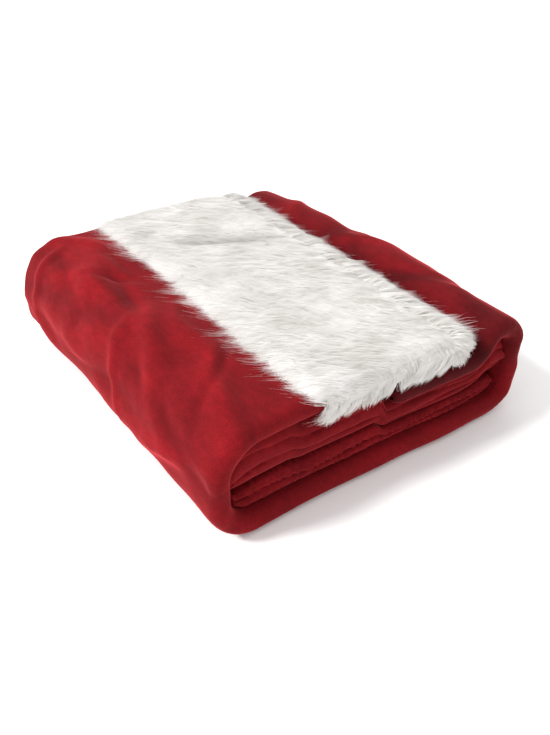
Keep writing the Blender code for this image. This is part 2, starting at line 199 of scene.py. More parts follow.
# Painted shade on the velvet, as a share of its darker copy: its share on the left, how much more on the
# right flap and as a painted shadow beside the hem, where those end along the strip, and how much a metre of
# lift and a slope take off as painted light
SHADE_BASE = 0.28
RIGHT_FLAP_SHADE = 0.55
HEM_EDGE_SHADOW = 0.35
RIGHT_FLAP_SHADE_ENDS = Fade(0.165, 0.035)
HEM_EDGE_SHADOW_ENDS = Fade(0.102, 0.018)
LIFT_LIGHT = 70.0
SLOPE_LIGHT = 0.9

# The hidden layers: room round them, places along the strip, how they thin at the neck end, and their points
LAYERS_GAP = 0.0012
LAYERS_NECK = (0.0022, 0.0030, 0.0050)
LAYERS_STEP = 0.008
LAYERS_END = 0.006
THINNED = 0.75
THIN_REACH = 0.005
LAYERS_IN_HEM = 0.004
ROUND_POINTS = 9
FLAT_POINTS = 24
HEM_POINTS = 14

# Half the hem's thickness over its pile, at places across it. It rounds off past both edges
PILE = (
    Row(HEM_SEAM - 0.0200, 0.0098),
    Row(HEM_SEAM - 0.0130, 0.0124),
    Row(HEM_SEAM - 0.0060, 0.0160),
    Row(HEM_SEAM + 0.0060, HEM_HALF),
    Row(HEM_EDGE - 0.0220, HEM_HALF),
    Row(HEM_EDGE - 0.0120, 0.0165),
    Row(HEM_EDGE - 0.0040, 0.0153),
    Row(HEM_EDGE + 0.0020, 0.0138),
    Row(HEM_EDGE + 0.0080, 0.0112),
    Row(HEM_EDGE + 0.0150, 0.0070),
)
# The hem's cloth: how far past its seam it starts and before its edge it ends, and its two faces' depths
HEM_CLOTH_START = 0.002
HEM_CLOTH_END = 0.001
HEM_CLOTH_STEP = 0.006
HEM_CLOTH_DEPTH = 0.0045
HEM_BACKING_DEPTH = 0.0090

# Hollows pressed into the plush, the long one first
HEM_HOLLOWS = tuple(Crease(*row) for row in (
    (0.018, 0.074, 0.13, 0.024, 0.006, -26, 0.005),
    (-0.02, -0.046, 0.12, 0.04, 0.0022, 70, 0.004),
    (0.04, -0.13, 0.13, 0.034, 0.0024, -35, 0.004),
    (-0.03, 0.14, 0.11, 0.036, 0.0022, 20, -0.004),
    (0.055, 0.0, 0.1, 0.028, 0.0018, 110, 0.004),
    (-0.035, -0.15, 0.09, 0.03, 0.0018, 130, 0.004),
))
# How far from its line the painted shade in the long hollow reaches, on its far slope and its near one
HOLLOW_SHADE_FAR = 0.015
HOLLOW_SHADE_NEAR = 0.007

# Hair in each third of the hem, loose along its seam, over its free edge, and on each ankle trim
HEM_HAIR = Hair(31500, (0.018, 0.034), 0.00062, (0.0004, 0.0032), (0.30, 0.86))
LOOSE_HAIR = Hair(12000, (0.024, 0.044), 0.00036, (-0.0012, 0.0024), (0.10, 0.60))
EDGE_HAIR = Hair(16000, (0.013, 0.029), 0.00062, (-0.0024, 0.0110), (0.40, 0.92))
ANKLE_HAIR = Hair(9000, (0.013, 0.024), 0.00062, (0.0002, 0.0042), (0.30, 0.86))
# Where it is rooted: past the hem's seam and fold, and beside its seam and its free edge
ROOTS_PAST_SEAM = 0.001
ROOTS_PAST_FOLD = 0.004
MIDDLE_THIRD = 0.085
LOOSE_ROOTS = (HEM_SEAM - 0.005, HEM_SEAM + 0.010)
EDGE_ROOTS = (HEM_EDGE - 0.016, HEM_EDGE)
# Seeds of its chance draws
HEM_SEEDS = {"front": 3, "middle": 4, "back": 5}
LOOSE_SEED = 17
EDGE_SEED = 11
ANKLE_SEEDS = {"left": 21, "right": 22}

# A lock: the shares along it where its points lie, its width there, the points of its faces, and their starts
LOCK_SHARES = np.array([0.0, 0.33, 0.70, 1.0])
LOCK_WIDTHS = np.array([0.8, 1.0, 0.62, 0.0])
LOCK_CORNERS = (0, 1, 3, 2, 2, 3, 5, 4, 4, 5, 6)
LOCK_STARTS = (0, 4, 8)
# Tufts: their spacing, how far they and the locks at their borders stray from it, and their depth and turn
TUFT = 0.0082
TUFT_SHIFT = 0.35
TUFT_SWAP = 0.0018
TUFT_DEPTH = 0.0010
TUFT_TURN = 5.0
# How locks vary: in turn, in length as shares of their tuft's, in sway, breadth, droop of their tips and tilt
LOCK_TURN = 7.0
LOCK_SHORTEST = 0.50
LOCK_LONGER = 0.68
LOCK_SPREAD = 1.5
LOCK_SWAY = 0.0012
LOCK_BREADTH = (0.6, 1.2)
LOCK_DROOP = (-0.0012, 0.0016)
LOCK_TILT = 0.15
# How deep under the pile's outline roots lie, and how soon a lock rises from there
ROOT_DEPTH = 0.0060
ROOT_CURVE = 2.2
# The share of the hair that strays from its tuft: less gathered, longer and finer
STRAYS = 0.16
STRAY_GATHER = 0.35
STRAY_LENGTH = 1.3
STRAY_WIDTH = 0.55

# The hair's direction on the hem, in degrees from across it, and how it swirls there
HAIR_LAY = 139.0
SWIRLS = (Ripple(8.0, 38, 21, 0, 0), Ripple(6.0, -33, 57, 0, 0))
# Over the free edge: its direction, sway and spread
EDGE_LAY = 38.0
EDGE_SWAY = 14.0
EDGE_PACE = 61
EDGE_SPREAD = 36.0
# On the ankle trims: its direction, splay at the sides, sway and spread
ANKLE_LAY = 90.0
ANKLE_SPLAY = 55.0
ANKLE_SWAY = Ripple(16.0, 90, 40, 0, 0)
ANKLE_SPREAD = 40.0
# Round the hem's folds: the angle past which hair hangs straight, how far it can, the step that gives its
# direction, and where and how far tufts turn down
HANG_ANGLE = 1.9
HANG_REACH = 0.019
HANG_AHEAD = 0.0005
HEM_HANG = ROLL_CENTRE + HANG_ANGLE * HEM_HALF
DROOP = Fade(ROLL_CENTRE + 0.014, 0.022)
DROOP_TURN = 0.75
# Where the first tufts turn over the free edge, and over what width all come to
TURN_OVER = Fade(HEM_EDGE - 0.018, 0.016)
# Over what width round the fold loose hair leaves the velvet's creases
OVER_FLAP = 0.010

# Sampling of the trousers: how level the faces that bound them are at least, and points across and along
LEVEL_FACING = 0.02
ACROSS_POINTS = 106
NECK_POINTS = 8
LEVEL_POINTS = 26
# Folded layers at an end: points round each, their number, how deep they part, and how they wander and end
LAYER_POINTS = 12
TROUSER_LAYERS = 3
LAYER_GROOVE = 0.0035
LAYER_WANDER = Wave(0.05, 0.17, 0.8)
LAYER_UNEVEN = Wave(0.0013, 0.11, 0.37)

# The waistband: its two edges and how deep they part, its sampling, the spacing, depth, roll and ribs of its
# gathers, and how far in its faces lie
BAND_LAYERS = 2
BAND_GROOVE = 0.0055
BAND_POINTS = 300
BAND_BACK_POINTS = 7
BAND_BACK_END = 0.002
GATHER = 0.0081
GATHER_DRIFTS = (Wave(0.35, 0.053, 0.0), Wave(0.2, 0.021, 0.0))
GATHER_DEPTH = 0.0011
GATHER_ROLL = 6.0
GATHER_RIB = 0.0005
BAND_INSET = 0.0006

# The ankle trims: the radius that places round them are measured by, how far past their sides and how thin
# they get, their cloth's inset, depths and steps, and where their hair starts and hangs free
ANKLE_ROUND = 0.0135
ANKLE_PAST = 1.08
ANKLE_LEAST = 0.05
ANKLE_INSET = 0.002
ANKLE_CLOTH_DEPTH = 0.0038
ANKLE_BACKING_DEPTH = 0.0060
ANKLE_STEP = 0.008
ANKLE_ROUND_STEP = 0.002
ANKLE_ACROSS_STEP = 0.004
ANKLE_HAIR_START = -0.020
ANKLE_HANG = 0.62 * pi * ANKLE_ROUND

# Angles up to which cloth and hidden layers are shaded smooth
CLOTH_SMOOTH = 60
LAYERS_SMOOTH = 50

# The velvet's pattern: brushed patches, patches of its darker copy for painted shade, marks of the nap, and
# the pile.
# Its tufts stand 0.2 mm apart, and are drawn coarser to show
BRUSHED_PATCH = 0.038
SHADED_PATCH = 0.045
NAP_MARK = 0.0055
NAP_DENT = 0.0085
PILE_GRAIN = 0.0011
PILE_BUMP = 0.0012
NAP_TURN = 20
# The plush's pattern: patches, and strands. A hair is 0.05 mm wide, and strands are drawn coarser to show
PLUSH_PATCH = 0.040
PLUSH_STRAND = 0.0030
PLUSH_THROUGH = 0.45
# A mix node's inputs 0, 6 and 7 are its share and colours, and its output 2 is the mixed colour
MIXED = {"data_type": "RGBA", "blend_type": "MIX"}
MULTIPLIED = {"data_type": "RGBA", "blend_type": "MULTIPLY", 0: 1.0}

# The floor's size, and the key light: its strength, its width and its turn in degrees
FLOOR_SIZE = 4.0
KEY_STRENGTH = 3.2
KEY_WIDTH = 14
KEY_TURN = (-14, -46, 0)

# The camera: its lens and film width in millimetres, its place, and its right, up and back directions
LENS = 37.53
FILM_WIDTH = 36.0
CAMERA_PLACE = (-0.3705, -0.5725, 0.4565)
CAMERA_RIGHT = (0.81979652, -0.57262202, -0.00613852)
CAMERA_UP = (0.32377379, 0.45463712, 0.82974431)
CAMERA_BACK = (-0.47233907, -0.68220899, 0.55810993)


def wave(place, row):
    return row.size * np.sin(2 * pi * (place / row.length + row.start))


def ripple(along, beside, row):
    """A wave on a surface, bent by a slower one."""
    bent = RIPPLE_BEND * np.sin(row.bent_along * along + row.bent_beside * beside)
    return row.size * np.sin(row.along * along + row.beside * beside + bent)


def smooth_step(value):
    share = np.clip(value, 0.0, 1.0)
    return share * share * (3.0 - 2.0 * share)


def faded(value, row):
    """How far a value is through a soft rise."""
    return smooth_step((value - row.start) / row.reach)


def settled(points):
    """Points with the lean, sag and bulge that a soft pack takes, its underside left flat."""
    x, y, z = points[..., 0], points[..., 1], points[..., 2]
    up = z / HEM_LEVEL
    along = y / ROLL_CENTRE
    across = x / SIDE
    middle = 1.0 - along**2
    sideways = wave(y, WAVE_ALONG) + SIDE_BULGE * across * middle
    lengthways = wave(x, WAVE_ACROSS) + END_BULGE * across * along
    moved = np.empty_like(points)
    moved[..., 0] = x + up * sideways
    moved[..., 1] = y + (FLOOR_SHARE + (1.0 - FLOOR_SHARE) * up) * lengthways
    moved[..., 2] = z * (1.0 + RISE * middle - LEAN * across * along)
    return moved


def crease_places(along, beside, crease):
    """Places as shares of a crease's half length from its centre, and how far they lie off its bent line."""
    turn = math.radians(crease.turn)
    run = (along - crease.along) * math.cos(turn) + (beside - crease.beside) * math.sin(turn)
    off = (beside - crease.beside) * math.cos(turn) - (along - crease.along) * math.sin(turn)
    share = 2 * run / crease.length
    return share, off - crease.bend * share**2


def lift(along, beside, creases):
    """How far the creases raise a surface at places on it."""
    height = np.zeros(np.broadcast(along, beside).shape)
    for crease in creases:
        share, off = crease_places(along, beside, crease)
        taper = np.clip(1.0 - share**2, 0.0, 1.0)
        height = height + crease.height * taper * np.exp(-((2 * off / crease.width) ** 2))
    return height


def between(start, end, step):
    count = max(1, round(float(np.linalg.norm(end - start)) / step))
    return [start + (end - start) * k / count for k in range(1, count)]


def wrap_path():
    """The strip's middle line: straight stretches joined by arcs of each corner's own radius."""
    knots = np.array([(corner.x, corner.z) for corner in WRAP])
    made = [knots[0]]
    for before, knot, after, row in zip(knots, knots[1:], knots[2:], WRAP[1:]):
        back = (before - knot) / np.linalg.norm(before - knot)
        ahead = (after - knot) / np.linalg.norm(after - knot)
        half = math.acos(float(back @ ahead)) / 2
        start = knot + back * row.bend / math.tan(half)
        end = knot + ahead * row.bend / math.tan(half)
        centre = knot + (back + ahead) / np.linalg.norm(back + ahead) * row.bend / math.sin(half)
        swing = pi - 2 * half
        steps = max(LEAST_STEPS, round(BEND_STEPS * swing / (pi / 2)))
        on_floor = before[1] == knot[1] == FLAT_LEVEL
        made += between(made[-1], start, FLOOR_STEP if on_floor else STEP)
        for k in range(steps + 1):
            to_end = swing * k / steps
            spoke = (start - centre) * math.sin(swing - to_end) + (end - centre) * math.sin(to_end)
            made.append(centre + spoke / math.sin(swing))
    made += between(made[-1], knots[-1], STEP)
    made.append(knots[-1])
    return np.array(made)


# The strip's middle line as X and Z, which way it faces there, and how far along it that is
PATH = wrap_path()
RUN = np.gradient(PATH, axis=0)
RUN /= np.linalg.norm(RUN, axis=1)[:, None]
NORMALS = np.stack([-RUN[:, 1], RUN[:, 0]], axis=1)
ALONG = np.concatenate([[0.0], np.cumsum(np.linalg.norm(np.diff(PATH, axis=0), axis=1))])


def section(v, radius):
    """Places on a section folded in at both sides: their centre, and which way they face, as y and height."""
    side = np.sign(v)
    beyond = np.abs(v) - ROLL_CENTRE
    angle = np.clip(beyond / radius, 0.0, pi)
    folded_in = np.clip(beyond - pi * radius, 0.0, None)
    return side * (np.minimum(np.abs(v), ROLL_CENTRE) - folded_in), side * np.sin(angle), np.cos(angle)


def evenly(start, end, step):
    return np.linspace(start, end, max(2, round(abs(end - start) / step) + 1))


def folded_columns(radius, returned, step):
    """Places across a section from one folded-in edge to the other, closer together round its sides."""
    turned = ROLL_CENTRE + pi * radius
    half = [evenly(0.0, ROLL_CENTRE, step), evenly(ROLL_CENTRE, turned, radius / 4)[1:]]
    if returned:
        half.append(evenly(turned, turned + returned, 2 * step)[1:])
    half = np.concatenate(half)
    return np.concatenate([-half[:0:-1], half])


def add_object(name, data):
    made = bpy.data.objects.new(name, data)
    bpy.context.scene.collection.objects.link(made)
    return made


def add_mesh(name, points, faces):
    mesh = bpy.data.meshes.new(name)
    mesh.from_pydata(points.reshape(-1, 3).tolist(), [], faces)
    mesh.update()
    return add_object(name, mesh)


def shade(piece, angle):
    piece.data.shade_smooth()
    piece.data.set_sharp_from_angle(angle=math.radians(angle))


def quads(upper, lower):
    """The faces between two rows of point numbers."""
    return np.stack([upper[:-1], upper[1:], lower[1:], lower[:-1]], axis=1)


def grid_quads(numbers):
    return np.concatenate([quads(upper, lower) for upper, lower in zip(numbers, numbers[1:])])


def add_wall(name, outer, inner, looped=False):
    """A wall of cloth between two grids of the same size, closed along its edges."""
    rows, columns = outer.shape[:2]
    front, back = np.arange(2 * rows * columns).reshape(2, rows, columns)
    if looped:
        front, back = (np.concatenate([side, side[:, :1]], axis=1) for side in (front, back))
    faces = [grid_quads(front), grid_quads(back)[:, ::-1]]
    faces += [quads(back[0], front[0]), quads(front[-1], back[-1])]
    if not looped:
        faces += [quads(front[:, 0], back[:, 0]), quads(back[:, -1], front[:, -1])]
    points = np.concatenate([outer.reshape(-1, 3), inner.reshape(-1, 3)])
    piece = add_mesh(name, points, np.concatenate(faces).tolist())
    shade(piece, CLOTH_SMOOTH)
    return piece


def side_pleats(along, beside):
    """Short pleats, trough by ridge, spread unevenly by sines of their numbers."""
    height = np.zeros(along.shape)
    for number, place in enumerate(PLEATS):
        for side in (-1, 1):
            shift = PLEAT_SHIFT * math.sin(4.7 * number + 1.3 * side)
            pleat = PLEAT._replace(
                along=place + shift,
                beside=side * PLEAT.beside,
                length=PLEAT.length + PLEAT_STRETCH * abs(shift),
                height=PLEAT_HEIGHTS[number % 2] * (1 + PLEAT_UNEVEN * math.sin(2.3 * number + side)),
                turn=PLEAT.turn + PLEAT_TURN * math.sin(5.1 * number + 2 * side),
            )
            height = height + lift(along, beside, (pleat,))
    return height


def relief(along, beside):
    """How far creases, pleats and small unevenness lift the velvet, with none of them under the hem."""
    uneven = sum(ripple(along, beside, row) for row in RIPPLES)
    free = faded(along, CREASES_START) * faded(ALONG[-1] - along, CREASES_END)
    return (lift(along, beside, VELVET_CREASES) + side_pleats(along, beside) + uneven) * free


def swollen(along, beside):
    """How far the strip's rounded sides swell, unlike at its front and its back."""
    round_side = np.clip((np.abs(beside) - ROLL_CENTRE) / (pi * STRIP_HALF), 0.0, 1.0)
    swell = 0.0
    for row in SWELLS:
        swell = swell + row.size * np.sin(row.pace * along + row.start) * (1.0 + row.lean * np.sign(beside))
    return swell * np.sin(pi * round_side)


def velvet_surface(along, beside, radius):
    """The strip's cloth at grid places, with its creases, but none against the floor or inside."""
    x, z, nx, nz = (np.interp(along, ALONG, row) for row in (*PATH.T, *NORMALS.T))
    centre, out_y, out_h = section(beside, STRIP_HALF)
    clear_of_floor = 1.0 - faded(np.clip(-nz * out_h, 0.0, 1.0), FACING_FLOOR)
    facing_out = faded(out_h, FACING_OUT)
    lip = np.sqrt(1.0 - LIP_LOSS * np.clip(1.0 - along / LIP_REACH, 0.0, 1.0) ** 2)
    creased = relief(along, beside) * clear_of_floor * facing_out
    reach = radius * lip + creased + swollen(along, beside)
    height = reach * out_h
    return settled(np.stack([x + nx * height, centre + reach * out_y, z + nz * height], axis=-1))


def strip_painted_shade(along, beside):
    """How much painted shade the velvet takes: most of all on the right flap and beside the hem, less on
    ridges and slopes it lies up, which are painted lighter.
    """
    lifted = relief(along, beside)
    facing_up = np.clip(np.interp(along, ALONG, NORMALS[:, 1]), 0.0, 1.0)
    slope = np.gradient(lifted, ALONG, axis=0) * facing_up
    on_right = 1.0 - faded(along, RIGHT_FLAP_SHADE_ENDS)
    beside_hem = 1.0 - faded(along, HEM_EDGE_SHADOW_ENDS)
    # More painted shade on the right flap, and a painted shadow beside the hem's free edge
    painted_dark = SHADE_BASE + RIGHT_FLAP_SHADE * on_right + HEM_EDGE_SHADOW * beside_hem
    # Painted light on ridges and on slopes it lies up, painted shade in troughs
    return np.clip(painted_dark - LIFT_LIGHT * lifted - SLOPE_LIGHT * slope, 0.0, 1.0)


def add_strip(name, along, beside):
    """A stretch of the strip's cloth, as its outer face and its inner one."""
    places = np.meshgrid(along, beside, indexing="ij")
    faces = [velvet_surface(*places, radius) for radius in (STRIP_HALF, STRIP_HALF - VELVET)]
    return add_wall(name, *faces)


def add_jacket():
    """The jacket's back, which shows all round, and the two fronts turned in inside it."""
    columns = folded_columns(STRIP_HALF, 0.0, BESIDE_STEP)
    back = add_strip("jacket_velvet", ALONG, columns)
    # The back's painted shade and light, kept on its points for the velvet to read
    painted_shade = strip_painted_shade(*np.meshgrid(ALONG, columns, indexing="ij")).ravel()
    keep_value(back, "painted_shade", np.tile(painted_shade, 2))
    fronts = []
    turned = ROLL_CENTRE + pi * STRIP_HALF
    for name, side in (("left_front_velvet", 1), ("right_front_velvet", -1)):
        beside = side * evenly(turned + GAP, turned + SIDE_RETURN, RETURN_STEP)
        fronts.append(add_strip(name, ALONG[::2], beside))
    return back, fronts


def layers_outline(radius):
    """The hidden layers' section, as y and height: rounded sides joined by a flat top and underside."""
    angles = np.linspace(0.0, pi, ROUND_POINTS)
    side = np.stack([ROLL_CENTRE + radius * np.sin(angles), -radius * np.cos(angles)], axis=1)
    across = np.linspace(ROLL_CENTRE, -ROLL_CENTRE, FLAT_POINTS)[1:-1]
    top = np.stack([across, np.full(len(across), radius)], axis=1)
    half = np.concatenate([side, top])
    return np.concatenate([half, -half])


def add_inner_layers():
    """The jacket's hidden fronts, sleeves and lining, thinner towards both ends."""
    strip = STRIP_HALF - VELVET - INNER_GAP - LAYERS_GAP
    along = np.concatenate([LAYERS_NECK, np.arange(LAYERS_STEP, ALONG[-1] - LAYERS_END, LAYERS_STEP)])
    to_neck = np.clip(1.0 - (along - along[0]) / THIN_REACH, 0.0, 1.0)
    rounded = np.sqrt(1.0 - THINNED * to_neck**2)
    x, z, nx, nz = (np.interp(along, ALONG, row)[:, None] for row in (*PATH.T, *NORMALS.T))
    lines = np.array([layers_outline(strip * share) for share in rounded])
    in_strip = np.stack([x + nx * lines[..., 1], lines[..., 0], z + nz * lines[..., 1]], axis=-1)
    places = np.linspace(HEM_SEAM - LAYERS_IN_HEM, HEM_EDGE - PLUSH, HEM_POINTS)[:, None]
    line = layers_outline(HEM_HALF - PLUSH - INNER_GAP)
    in_hem = np.stack(np.broadcast_arrays(places, line[:, 0], HEM_LEVEL + line[:, 1]), axis=-1)
    rings = settled(np.concatenate([in_strip, flared(in_hem)]))
    numbers = np.arange(rings.shape[0] * rings.shape[1]).reshape(rings.shape[:2])
    looped = np.concatenate([numbers, numbers[:, :1]], axis=1)
    faces = grid_quads(looped).tolist() + [numbers[0].tolist(), numbers[-1][::-1].tolist()]
    piece = add_mesh("jacket_layers", rings, faces)
    shade(piece, LAYERS_SMOOTH)
    return piece


def flare(y):
    """How much further out the hem's free edge lies towards the back of the pack."""
    return HEM_FLARE * smooth_step((y - HEM_FLARE_START) / (ROLL_CENTRE - HEM_FLARE_START))


def flared(points):
    """Points of the hem stretched out to its flared edge, and a little past it."""
    made = points.copy()
    reach = np.clip((points[..., 0] - HEM_SEAM) / (HEM_EDGE - HEM_SEAM), 0.0, HEM_FLARE_LIMIT)
    made[..., 0] += flare(points[..., 1]) * reach
    return made


def pile_radius(x):
    """Half the hem's thickness over its pile at places across it."""
    return np.interp(x, *np.array(PILE).T)


def hem_surface(x, v, depth):
    """Points of the hem at a depth under the outline of its pile."""
    radius = pile_radius(x) - depth
    centre, out_y, out_h = section(v, HEM_HALF)
    y = centre + radius * out_y
    height = radius * out_h - lift(x, y, HEM_HOLLOWS) * np.clip(out_h, 0.0, 1.0)
    return settled(flared(np.stack(np.broadcast_arrays(x, y, HEM_LEVEL + height), axis=-1)))


def add_hem():
    """The hem band's cloth, under its hair."""
    across = evenly(HEM_SEAM - HEM_CLOTH_START, HEM_EDGE - HEM_CLOTH_END, HEM_CLOTH_STEP)
    columns = folded_columns(HEM_HALF, SIDE_RETURN, HEM_CLOTH_STEP)
    x, v = np.meshgrid(across, columns, indexing="ij")
    backing = np.maximum(pile_radius(x) - HEM_HALF + PLUSH, HEM_BACKING_DEPTH)
    return add_wall("hem_cloth", hem_surface(x, v, HEM_CLOTH_DEPTH), hem_surface(x, v, backing))


def heading(degrees):
    turn = np.radians(degrees)
    return np.stack([np.cos(turn), np.sin(turn)], axis=-1)


def add_ribbons(name, left, right):
    """A mesh of ribbons, each between two lines that meet in a tip."""
    count = len(left)
    pairs = np.stack([left[:, :-1], right[:, :-1]], axis=2).reshape(count, -1, 3)
    points = np.concatenate([pairs, left[:, -1:]], axis=1)
    corners = np.arange(count)[:, None] * points.shape[1] + LOCK_CORNERS
    starts = np.arange(count)[:, None] * len(LOCK_CORNERS) + LOCK_STARTS
    mesh = bpy.data.meshes.new(name)
    mesh.vertices.add(points.size // 3)
    mesh.vertices.foreach_set("co", points.astype(np.float32).ravel())
    mesh.loops.add(corners.size)
    mesh.loops.foreach_set("vertex_index", corners.astype(np.int32).ravel())
    mesh.polygons.add(starts.size)
    mesh.polygons.foreach_set("loop_start", starts.astype(np.int32).ravel())
    mesh.update(calc_edges=True)
    mesh.validate()
    return add_object(name, mesh)


def add_locks(name, surface, span, lay, hair, seed):
    """Locks of hair lying on a surface: flat ribbons that run out to a tip, drawn together into tufts.

    span is the surface's low and high u and v, and lay gives the hair's direction at u, v in degrees.
    """
    chance, count = np.random.default_rng(seed), hair.count
    (u0, u1), (v0, v1) = span
    root = np.stack([chance.uniform(u0, u1, count), chance.uniform(v0, v1, count)], axis=1)
    shape = (int((u1 - u0) / TUFT) + 3, int((v1 - v0) / TUFT) + 3)
    at = ((root - (u0, v0) + chance.normal(0.0, TUFT_SWAP, root.shape)) / TUFT).astype(int)
    at = tuple(np.clip(at + 1, 0, np.array(shape) - 1).T)
    grid = np.stack(np.meshgrid(*(np.arange(n) for n in shape), indexing="ij"), axis=-1)
    tuft = (grid - 0.5 + chance.uniform(-TUFT_SHIFT, TUFT_SHIFT, grid.shape)) * TUFT + (u0, v0)
    tuft_turn = lay(tuft[..., 0], tuft[..., 1], chance.uniform(0, 1, shape))
    tuft_turn = tuft_turn + chance.normal(0.0, TUFT_TURN, shape)
    tuft_length = chance.uniform(*hair.length, shape)
    tuft_depth = chance.uniform(0.0, TUFT_DEPTH, shape)
    tuft_tip = tuft[at] + tuft_length[at][:, None] * heading(tuft_turn[at])

    stray = chance.random(count) < STRAYS
    gather = chance.uniform(*hair.gathered, shape)[at] * np.where(stray, STRAY_GATHER, 1.0)
    run = heading(tuft_turn[at] + chance.normal(0.0, LOCK_TURN, count))
    length = tuft_length[at] * (LOCK_SHORTEST + LOCK_LONGER * chance.random(count) ** LOCK_SPREAD)
    length = length * np.where(stray, STRAY_LENGTH, 1.0)
    beside = np.stack([-run[:, 1], run[:, 0]], axis=1)
    share = LOCK_SHARES[None, :, None]
    sway = chance.normal(0.0, LOCK_SWAY, count)[:, None, None] * np.sin(pi * share)
    line = root[:, None] + run[:, None] * length[:, None, None] * share + beside[:, None] * sway
    to_tip = tuft_tip - root - run * length[:, None]
    line = line + gather[:, None, None] * share**2 * to_tip[:, None]

    tip_depth = chance.uniform(*hair.depth, count) + tuft_depth[at]
    droop = chance.uniform(*LOCK_DROOP, count)
    share = LOCK_SHARES[None, :]
    risen = 1 - (1 - share) ** ROOT_CURVE
    depth = ROOT_DEPTH + (tip_depth[:, None] - ROOT_DEPTH) * risen + droop[:, None] * share**2
    breadth = chance.uniform(*LOCK_BREADTH, count) * np.where(stray, STRAY_WIDTH, 1.0)
    half = hair.width * breadth[:, None] * LOCK_WIDTHS / 2
    tilt = chance.normal(0.0, LOCK_TILT, count)[:, None] * half
    sides = []
    for side in (-1, 1):
        edge = line + side * half[..., None] * beside[:, None]
        sides.append(surface(edge[..., 0], edge[..., 1], depth + side * tilt))
    return add_ribbons(name, *sides)


def hanging(surface, last):
    """Places for hair: on a surface, then hanging straight from a place round its folds."""

    def places(x, v, depth):
        kept = np.clip(v, -last, last)
        ahead = np.where(v < 0, -HANG_AHEAD, HANG_AHEAD)
        points = surface(x, kept, depth)
        run = (points - surface(x, kept - ahead, depth)) / HANG_AHEAD
        reach = HANG_REACH * np.tanh(np.abs(v - kept) / HANG_REACH)
        return points + run * reach[..., None]

    return places


def drooped(angle, v):
    """The hair's angle from the hem's width, nearer to straight down over its folds."""
    return angle + (90.0 - angle) * DROOP_TURN * faded(np.abs(v), DROOP)


def hem_lay(u, v, draw):
    """The hair lies aslant over the velvet, turns over by the free edge, and droops over both folds."""
    turned = draw < faded(u, TURN_OVER)
    drooping = draw < faded(np.abs(v), DROOP)
    way = np.where(drooping, np.sign(v), np.where(turned, -1.0, 1.0))
    swirl = sum(ripple(u, v, row) for row in SWIRLS)
    return way * drooped(np.where(turned, 180.0 - HAIR_LAY, HAIR_LAY), v) + swirl


def add_hem_plush():
    """The hem's hair, in thirds along the pack."""
    surface = hanging(hem_surface, HEM_HANG)
    reach = HEM_HANG + ROOTS_PAST_FOLD
    cuts = (-reach, -MIDDLE_THIRD, MIDDLE_THIRD, reach)
    pieces = []
    for (name, seed), low, high in zip(HEM_SEEDS.items(), cuts, cuts[1:]):
        span = ((HEM_SEAM + ROOTS_PAST_SEAM, HEM_EDGE), (low, high))
        pieces.append(add_locks(f"hem_plush_{name}", surface, span, hem_lay, HEM_HAIR, seed))
    return pieces


def over_flap(x, v, depth):
    """Places for loose hair: on the hem, and over the creases of the velvet beside its seam."""
    points = hem_surface(x, v, depth)
    on_top = np.clip(1.0 - (np.abs(v) - ROLL_CENTRE) / OVER_FLAP, 0.0, 1.0)
    points[..., 2] += relief(ALONG[-1] - np.clip(HEM_SEAM - x, 0.0, None), v) * on_top
    return points


def add_loose_plush():
    """Fine loose hair that runs out over the velvet along the hem's seam."""
    span = (LOOSE_ROOTS, (-HEM_HANG, HEM_HANG))
    surface = hanging(over_flap, HEM_HANG)
    return add_locks("hem_plush_wisps", surface, span, hem_lay, LOOSE_HAIR, LOOSE_SEED)


def free_edge_lay(u, v, draw):
    """The hair runs out over the free edge and to the nearer fold."""
    way = np.where(v > DROOP.start, 1.0, -1.0)
    return way * drooped(EDGE_LAY, v) + EDGE_SWAY * np.sin(EDGE_PACE * v) + EDGE_SPREAD * (draw - 0.5)


def add_free_edge_plush():
    """Hair that hangs over the hem's free edge."""
    span = (EDGE_ROOTS, (-HEM_HANG, HEM_HANG))
    surface = hanging(hem_surface, HEM_HANG)
    return add_locks("hem_plush_edge", surface, span, free_edge_lay, EDGE_HAIR, EDGE_SEED)


def trouser_ceiling(x, left_top, right_top):
    """The underside of what lies on the trousers: the left flap, then the hem, then the neck end."""
    under_hem = HEM_LEVEL - HEM_HALF - INNER_GAP
    left, right = np.interp(x, *left_top), np.interp(x, *right_top)
    over_left = left + (under_hem - left) * faded(x, LIP)
    over_right = under_hem + (right - under_hem) * faded(x, NECK)
    return np.where(x < HEM_SEAM, over_left, over_right)


def trouser_space():
    """Places across the pack, with the lowest and highest that the trousers reach there."""
    face = PATH - NORMALS * (STRIP_HALF + INNER_GAP)
    order = np.argsort(face[:, 0])
    face, facing = face[order], NORMALS[order][:, 1]
    left_top = face[(facing > LEVEL_FACING) & (face[:, 0] < HEM_SEAM)].T
    right_top = face[(facing > LEVEL_FACING) & (face[:, 0] > HEM_SEAM)].T
    under = face[facing < -LEVEL_FACING].T
    half = SIDE - STRIP_HALF - INNER_GAP
    across = -half * np.cos(np.linspace(0.0, pi, ACROSS_POINTS))
    over_neck = np.linspace(NECK.start, NECK.start + NECK.reach, NECK_POINTS)
    places = np.sort(np.concatenate([across, over_neck]))
    return places, np.interp(places, *under), trouser_ceiling(places, left_top, right_top)


def layer(space, x, start, end):
    """The bottom and top of the trousers at x, between two shares of their height."""
    places, bottom, top = space
    low, high = np.interp(x, places, bottom), np.interp(x, places, top)
    return low + start * (high - low), low + end * (high - low)


